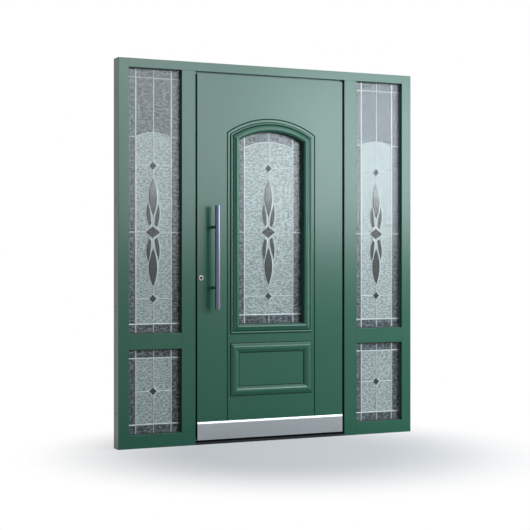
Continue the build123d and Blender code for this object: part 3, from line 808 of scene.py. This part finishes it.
def upper_sidelight(x):
    low, high = UPPER_SIGHT
    main = [[(x + s * side_lead, low), (x + s * side_lead, high)] for s in (-1, 1)]
    main.append([(x - SIDE_HALF, low + BORDER), (x + SIDE_HALF, low + BORDER)])
    thin = stem(x, FLOWER_SIDE_Z, UPPER_SIGHT) + crosswise(x, FLOWER_SIDE_Z, SIDE_HALF, DIAMOND_W)
    thin.append([(x - SIDE_HALF, high - BORDER), (x + SIDE_HALF, high - BORDER)])
    for up in (-1, 1):
        thin += crosswise(x, FLOWER_SIDE_Z + up * SMALL_DROP, side_lead, SMALL_DIAMOND)
    thin += crosswise(x, side_spring, SIDE_HALF, side_lead)
    left, right = (x - side_lead, side_spring), (x + side_lead, side_spring)
    thin.append(bow(left, (x, side_spring + SIDE_ARCH_RISE), right))
    return main, thin


def lower_sidelight(x):
    low, high = LOWER_SIGHT
    main = [[(x + s * side_lead, low), (x + s * side_lead, high)] for s in (-1, 1)]
    main += [[(x - SIDE_HALF, z), (x + SIDE_HALF, z)] for z in (low + BORDER, high - BORDER)]
    thin = [[(x, high), (x, LOWER_FLOWER_Z + SMALL_DIAMOND)]]
    thin.append([(x, LOWER_FLOWER_Z - SMALL_DIAMOND), (x, low)])
    thin += crosswise(x, LOWER_FLOWER_Z, side_lead, SMALL_DIAMOND)
    return main, thin


def door_window():
    low, high = DOOR_SIGHT
    spring = ARCH_Z + sqrt((PANE_R - GLASS_COVER) ** 2 - door_lead**2)
    lead_spring = ARCH_Z + sqrt(DOOR_LEAD_R**2 - door_lead**2)
    main = [[(s * door_lead, low), (s * door_lead, spring)] for s in (-1, 1)]
    main.append([(-DOOR_HALF, low + BORDER), (DOOR_HALF, low + BORDER)])
    main.append(bow((-door_lead, lead_spring), (0, ARCH_Z + DOOR_LEAD_R), (door_lead, lead_spring)))
    thin = stem(0, FLOWER_DOOR_Z, DOOR_SIGHT) + crosswise(0, FLOWER_DOOR_Z, DOOR_HALF, DIAMOND_W)
    for up in (-1, 1):
        thin += crosswise(0, FLOWER_DOOR_Z + up * SMALL_DROP, door_lead, SMALL_DIAMOND)
    return main, thin


print("door lines:", sum(len(lines) for lines in door_window()))

# %% [markdown]
# ## Bevelled glass
#
# The flower is thick smoky glass with a ground bevel all round and a flat middle. A face drawn
# inside each outline is lifted off the pane, and the sloped faces between the two are the bevel. It
# is left sharp, because the sharp line is what makes bevelled glass sparkle. The slopes that face
# up and right get a pale colour and a stronger mirror as a painted highlight, and the others keep
# the smoky colour with a weaker mirror as painted shade. The flat middles lie a little tilted in
# their lead, the diamonds most, and mirror what is lower down.

# %% Bevelled pieces
BEVEL_RISE, BEVEL_W, BEVEL_MOST = 0.0025, 0.0085, 0.45
BEVEL_TILT, DIAMOND_TILT = tan(radians(2.5)), tan(radians(7))
SMOKE, SMOKE_PALE = (0.012, 0.014, 0.015), (0.022, 0.025, 0.026)
# painted highlight: the pale colour of slopes facing up and right stands in for the light they catch
PAINTED_HIGHLIGHT, PAINTED_HIGHLIGHT_PALE = (0.40, 0.42, 0.43), (0.62, 0.65, 0.66)
FLAT_MIRROR, PAINTED_LIT_MIRROR, PAINTED_SHADE_MIRROR = 0.5, 0.3, 0.1
CUT_WAVES, CUT_ROUGH, CUT_UNEVEN = 12.0, 0.08, 0.06
PAINTED_LIT_SIDE = (0.8, 0.6)
FLAT, PAINTED_LIT, PAINTED_SHADE, DIAMOND = range(4)
DIAMOND_CORNERS = 4


def cut_glass(name, dark, pale, mirror, tilt=BEVEL_TILT):
    """Polished glass that lies a little tilted in its lead, so that it mirrors what is lower down."""
    material, start = new_finish(name)
    where = places(start)
    drift = grain(start, where, CUT_WAVES)
    z = start.make("SeparateXYZ", sockets={0: where}, out="Z")
    surface(
        start,
        Base_Color=drift.blend(dark, pale),
        Roughness=CUT_ROUGH + CUT_UNEVEN * drift,
        Specular_IOR_Level=mirror,
        Normal=bumped(start, z, tilt),
    )
    return material


CUT_FINISHES = {
    FLAT: cut_glass("bevelled_glass", SMOKE, SMOKE_PALE, FLAT_MIRROR),
    PAINTED_LIT: cut_glass("painted_highlight_bevel", PAINTED_HIGHLIGHT, PAINTED_HIGHLIGHT_PALE, PAINTED_LIT_MIRROR),
    PAINTED_SHADE: cut_glass("painted_shade_bevel", SMOKE, SMOKE_PALE, PAINTED_SHADE_MIRROR),
    DIAMOND: cut_glass("bevelled_diamond", SMOKE, SMOKE_PALE, FLAT_MIRROR, DIAMOND_TILT),
}


def bevelled_piece(mesh, outline, y, out):
    """A plate with sloped edges on one face of a pane."""
    count = len(outline)
    middle = tuple(sum(p[i] for p in outline) / count for i in (0, 1))
    half = tuple(max(abs(p[i] - middle[i]) for p in outline) for i in (0, 1))
    keep = tuple(1 - min(BEVEL_MOST, BEVEL_W / h) for h in half)
    lifted = [tuple(m + (c - m) * k for c, m, k in zip(p, middle, keep)) for p in outline]
    foot = [mesh.verts.new((x, y, z)) for x, z in outline]
    top = [mesh.verts.new((x, y + out * BEVEL_RISE, z)) for x, z in lifted]
    for i in range(count):
        j = (i + 1) % count
        slope = mesh.faces.new((foot[i], foot[j], top[j], top[i]))
        across, up = outline[j][1] - outline[i][1], outline[i][0] - outline[j][0]
        outward = across * (outline[i][0] - middle[0]) + up * (outline[i][1] - middle[1])
        facing = (across * PAINTED_LIT_SIDE[0] + up * PAINTED_LIT_SIDE[1]) * outward
        # painted light: slopes facing up and right get the painted highlight, the others the painted
        # shade
        slope.material_index = PAINTED_LIT if facing > 0 else PAINTED_SHADE
    mesh.faces.new(top).material_index = DIAMOND if count == DIAMOND_CORNERS else FLAT


print("finishes of the cut glass:", [m.name for m in CUT_FINISHES.values()])

# %% [markdown]
# ## Leading up the panes
#
# Each pane now gets its lines, its beads of solder and its bevelled pieces, on both faces. All the
# lead of one body joins into one piece, and so does its bevelled glass. Lines that end at the edge
# of the glass get no bead there, because a bead would run into the spacer.

# %% Lead and bevelled glass in every pane
LEAD_RISE = 0.0032
JOINT_R, JOINT_RISE = 0.0055, 0.0036


def joints(main, thin):
    """The ends of thin lines that aren't at the edge of the glass, and where main lines cross."""
    uprights = [line for line in main if line[0][0] == line[-1][0]]
    levels = [line for line in main if len(line) == 2 and line[0][1] == line[-1][1]]
    across = [x for line in levels for x, z in line]
    heights = [z for line in uprights for x, z in line]
    left, right, low, high = min(across), max(across), min(heights), max(heights)
    ends = [end for line in thin for end in (line[0], line[-1])]
    inside = [(x, z) for x, z in ends if left < x < right and low < z < high]
    return inside + [(post[0][0], level[0][1]) for post in uprights for level in levels]


def leaded(name, body, panes, low, high):
    """The lead lines and the bevelled pieces on both faces of the panes of one body."""
    lead, glass = bmesh.new(), bmesh.new()
    for (main, thin), outlines in panes:
        lines = [(points, MAIN_LEAD) for points in main] + [(points, THIN_LEAD) for points in thin]
        for y, out in ((low.y, -1), (high.y, 1)):
            for points, width in lines:
                oval_line(lead, points, width, LEAD_RISE, y, out)
            for x, z in joints(main, thin):
                solder_bead(lead, x, z, JOINT_R, JOINT_RISE, y, out)
            for outline in outlines:
                oval_line(lead, outline, ROUND_LEAD, LEAD_RISE, y, out, closed=True)
                bevelled_piece(glass, outline, y, out)
    add_piece(f"{name}_lead_lines", lead, body, "leaded_glass", lead_finish)
    add_piece(f"{name}_bevelled_glass", glass, body, "leaded_glass", *CUT_FINISHES.values())


side_panes = []
for side_x in (-SIDE_X, SIDE_X):
    side_flower = [shifted(outline, side_x, FLOWER_SIDE_Z) for outline in flower()]
    side_panes.append((upper_sidelight(side_x), side_flower))
    small = shifted(diamond(SMALL_DIAMOND, SMALL_DIAMOND), side_x, LOWER_FLOWER_Z)
    side_panes.append((lower_sidelight(side_x), [small]))
door_flower = [shifted(outline, 0, FLOWER_DOOR_Z) for outline in flower()]
leaded("sidelight", "frame", side_panes, pane_low, pane_high)
leaded("door", "leaf", [(door_window(), door_flower)], door_low, door_high)

# %% [markdown]
# ## Painted shade lines round the mouldings
#
# The mouldings are planted on the panel and sealed. Dark strips along their edges, and in the foot
# of the quirk between the bead and the hollow of the window moulding, are painted shade: they
# stand for the fine shadow lines there. The section of the lead lines, made flatter, is carried
# round the outlines of the mouldings.

# %% Painted shade lines
# painted shade: near-black strips stand in for the shadow lines along the mouldings and in the quirk
PAINTED_SHADE_LINE = (0.003, 0.010, 0.008)
PAINTED_SHADE_LINE_DUST = (0.007, 0.018, 0.014)
SHADE_LINE_W, QUIRK_SHADE_LINE_W, SHADE_LINE_RISE = 0.0080, 0.0042, 0.0005
QUIRK_IN, QUIRK_UP = 0.014, 0.0038
PANEL_MOULDING_W = 0.052
DUST_WAVES, PAINTED_SHADE_LINE_ROUGH, DUST_ROUGH = 40.0, 0.7, 0.2
PAINTED_SHADE_LINE_MIRROR = 0.08
ARCH_STEPS = 28


def painted_shade_finish():
    material, start = new_finish("painted_dark_lines")
    where = places(start)
    dust = grain(start, where, DUST_WAVES, detail=4.0)
    surface(
        start,
        Base_Color=dust.blend(PAINTED_SHADE_LINE, PAINTED_SHADE_LINE_DUST),
        Roughness=PAINTED_SHADE_LINE_ROUGH + DUST_ROUGH * dust,
        Specular_IOR_Level=PAINTED_SHADE_LINE_MIRROR,
    )
    return material


def arched_outline(out):
    """The outline of the window moulding, moved outward."""
    low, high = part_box("outer_window_moulding")
    half, radius = high.x + out, high.z - ARCH_Z + out
    edge = asin(half / radius)
    turns = [edge * (1 - 2 * i / ARCH_STEPS) for i in range(ARCH_STEPS + 1)]
    arch = [(radius * sin(turn), ARCH_Z + radius * cos(turn)) for turn in turns]
    return [(-half, low.z - out), (half, low.z - out)] + arch


def panel_outline(out):
    """The outline of the lower panel's moulding, moved outward."""
    low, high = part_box("outer_panel_moulding")
    half = high.x + out
    return [(-half, low.z - out), (half, low.z - out), (half, high.z + out), (-half, high.z + out)]


panel_low, panel_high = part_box("door_panel")
shade_lines = bmesh.new()
for y, out in ((panel_low.y, -1), (panel_high.y, 1)):
    for outline in (arched_outline(0), panel_outline(0), panel_outline(-PANEL_MOULDING_W)):
        oval_line(shade_lines, outline, SHADE_LINE_W, SHADE_LINE_RISE, y, out, closed=True)
quirk = arched_outline(-QUIRK_IN)
oval_line(shade_lines, quirk, QUIRK_SHADE_LINE_W, SHADE_LINE_RISE, panel_low.y - QUIRK_UP, -1, closed=True)
add_piece("moulding_shade_lines", shade_lines, "leaf", "gasket", painted_shade_finish())

# %% [markdown]
# ## Screws
#
# Stainless screws with a hex socket hold the hinges, the lock plates and the strike plate. They are
# turned shapes like the solder beads. The two plates in the door gap get flat heads, because the
# gap beside them is only a few millimetres wide.

# %% Screws of the hinges and plates
HEAD_R, SOCKET_R = 0.0046, 0.0024
PROUD_HEAD, FLAT_HEAD = 0.0020, 0.0006
HEAD_RINGS = (1, 0), (0.92, 0.6), (0.7, 1)
SOCKET_FLOOR, HEX_FLAT = 0.1, cos(pi / 6)
PLATE_IN, PLATE_END, HINGE_END = 0.012, 0.014, 0.009
HINGE_PLATE_H, HINGE_PLATE_T = 0.034, 0.004
FACEPLATE_SCREWS = 6


def screw(mesh, place, out, rise):
    """A round head with a hexagonal socket that goes down to the plate."""
    outside = [(share * HEAD_R, height * rise, 1) for share, height in HEAD_RINGS]
    socket = [(SOCKET_R, rise, HEX_FLAT), (SOCKET_R, SOCKET_FLOOR * rise, HEX_FLAT)]
    turned_shape(mesh, place, out, outside + socket)


def plate_face(node, axis, side):
    """The middle of a box on X and Y, moved to one of its faces, and its lowest and highest Z."""
    low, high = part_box(node)
    place = (low + high) / 2
    place[axis] = (high if side > 0 else low)[axis]
    return place.x, place.y, low.z, high.z


frame_screws, leaf_screws = bmesh.new(), bmesh.new()
for level in ("lower", "middle", "upper"):
    low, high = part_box(f"{level}_hinge_frame_part")
    for foot in (low.z, high.z - HINGE_PLATE_H):
        for z in (foot + HINGE_END, foot + HINGE_PLATE_H - HINGE_END):
            screw(frame_screws, (high.x - PLATE_IN, low.y + HINGE_PLATE_T, z), (0, 1, 0), PROUD_HEAD)
    low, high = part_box(f"{level}_hinge_leaf_part")
    for z in (low.z + HINGE_END, high.z - HINGE_END):
        screw(leaf_screws, (low.x + PLATE_IN, low.y + HINGE_PLATE_T, z), (0, 1, 0), PROUD_HEAD)

x, y, low_z, high_z = plate_face("strike_plate", 0, 1)
for z in (low_z + PLATE_END, high_z - PLATE_END):
    screw(frame_screws, (x, y, z), (1, 0, 0), FLAT_HEAD)
x, y, low_z, high_z = plate_face("inside_plate", 1, 1)
for z in (low_z + PLATE_END, high_z - PLATE_END):
    screw(leaf_screws, (x, y, z), (0, 1, 0), PROUD_HEAD)
x, y, low_z, high_z = plate_face("lock_faceplate", 0, -1)
for i in range(FACEPLATE_SCREWS):
    z = low_z + PLATE_END + (high_z - low_z - 2 * PLATE_END) * i / (FACEPLATE_SCREWS - 1)
    screw(leaf_screws, (x, y, z), (-1, 0, 0), FLAT_HEAD)
add_piece("frame_screws", frame_screws, "frame", "stainless", lock_steel)
add_piece("leaf_screws", leaf_screws, "leaf", "stainless", lock_steel)
